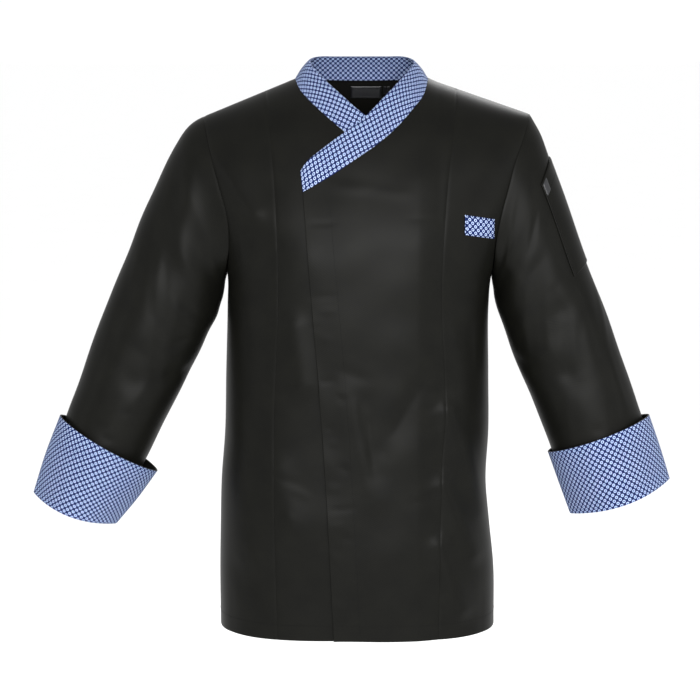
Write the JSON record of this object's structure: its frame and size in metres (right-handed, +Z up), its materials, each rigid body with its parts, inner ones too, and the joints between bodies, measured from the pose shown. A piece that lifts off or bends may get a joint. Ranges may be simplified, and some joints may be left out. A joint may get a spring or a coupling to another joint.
{
  "type": "chef jacket",
  "caption": "Hollow worn-shape chef jacket with crossed printed collar band, concealed front placket, long sleeves, turned-back printed cuffs and a sleeve pen pocket.",
  "frame": {"origin": "between the side neck points, 4 mm below their height, where the wearer's shoulders hold the jacket", "axes": "+Z up, -Y the front of the jacket, +X the wearer's left"},
  "size_m": [0.8915, 0.2719, 0.7869],
  "materials": {
    "black_twill": "black polyester cotton twill with a soft satin sheen, pressed",
    "printed_cotton": "matt cotton printed with small pale blue rings on navy",
    "label_satin": "blank dark woven satin label"
  },
  "bodies": {
    "root": {"back": "black_twill", "front_left_centre": "black_twill", "front_left_side": "black_twill", "front_right_centre": "black_twill", "front_right_side": "black_twill", "collar": "printed_cotton", "sleeve_left": "black_twill", "cuff_left": "printed_cotton", "sleeve_right": "black_twill", "cuff_right": "printed_cotton", "chest_tab": "printed_cotton", "pen_pocket": "black_twill", "pocket_label": "label_satin", "neck_label": "label_satin", "size_tab": "label_satin"}
  },
  "joints": []
}
